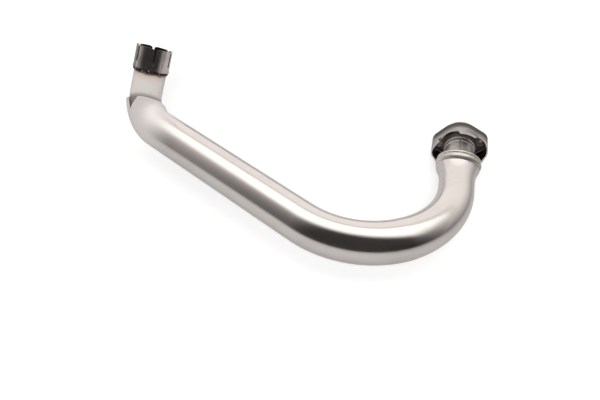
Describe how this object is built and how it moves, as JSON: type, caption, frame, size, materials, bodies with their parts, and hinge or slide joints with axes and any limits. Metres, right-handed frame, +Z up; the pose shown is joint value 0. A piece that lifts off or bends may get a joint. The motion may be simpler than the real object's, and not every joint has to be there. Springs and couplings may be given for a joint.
{
  "type": "motorcycle exhaust header",
  "caption": "Double-wall stainless motorcycle header pipe with a wide bend, a loose oval head flange on split collars and a slotted clamp sleeve at the tail.",
  "frame": {"origin": "centre of the gas pipe's end face at the cylinder head", "axes": "+Y out of the pipe towards the cylinder head, +Z up; the run and the wide bend lie in XY"},
  "size_m": [0.3649, 0.1965, 0.0964],
  "materials": {
    "satin_stainless": "satin brushed",
    "tinted_stainless": "satin, heat tinted",
    "mesh_steel": "woven wire",
    "collar_steel": "dull, scaled",
    "flange_steel": "dull, oxidised",
    "burnt_weld": "rippled, burnt"
  },
  "bodies": {
    "header": {"shell_elbow": "satin_stainless", "shell_run": "satin_stainless", "shell_bend": "satin_stainless", "shell_head": "satin_stainless", "gas_pipe": "satin_stainless", "neck_tube": "tinted_stainless", "tail_elbow": "tinted_stainless", "tail_stub": "tinted_stainless", "mesh_ring": "mesh_steel", "closing_ring": "satin_stainless", "collar_left": "collar_steel", "collar_right": "collar_steel", "gasket_ring": "collar_steel", "slotted_sleeve": "tinted_stainless", "sleeve_weld": "burnt_weld"},
    "flange": {"head_flange": "flange_steel"}
  },
  "joints": [
    {"name": "flange_turn", "type": "hinge", "parent": "header", "child": "flange", "pos_m": [0, -0.012, 0], "axis": [0, 1, 0], "continuous": true}
  ]
}
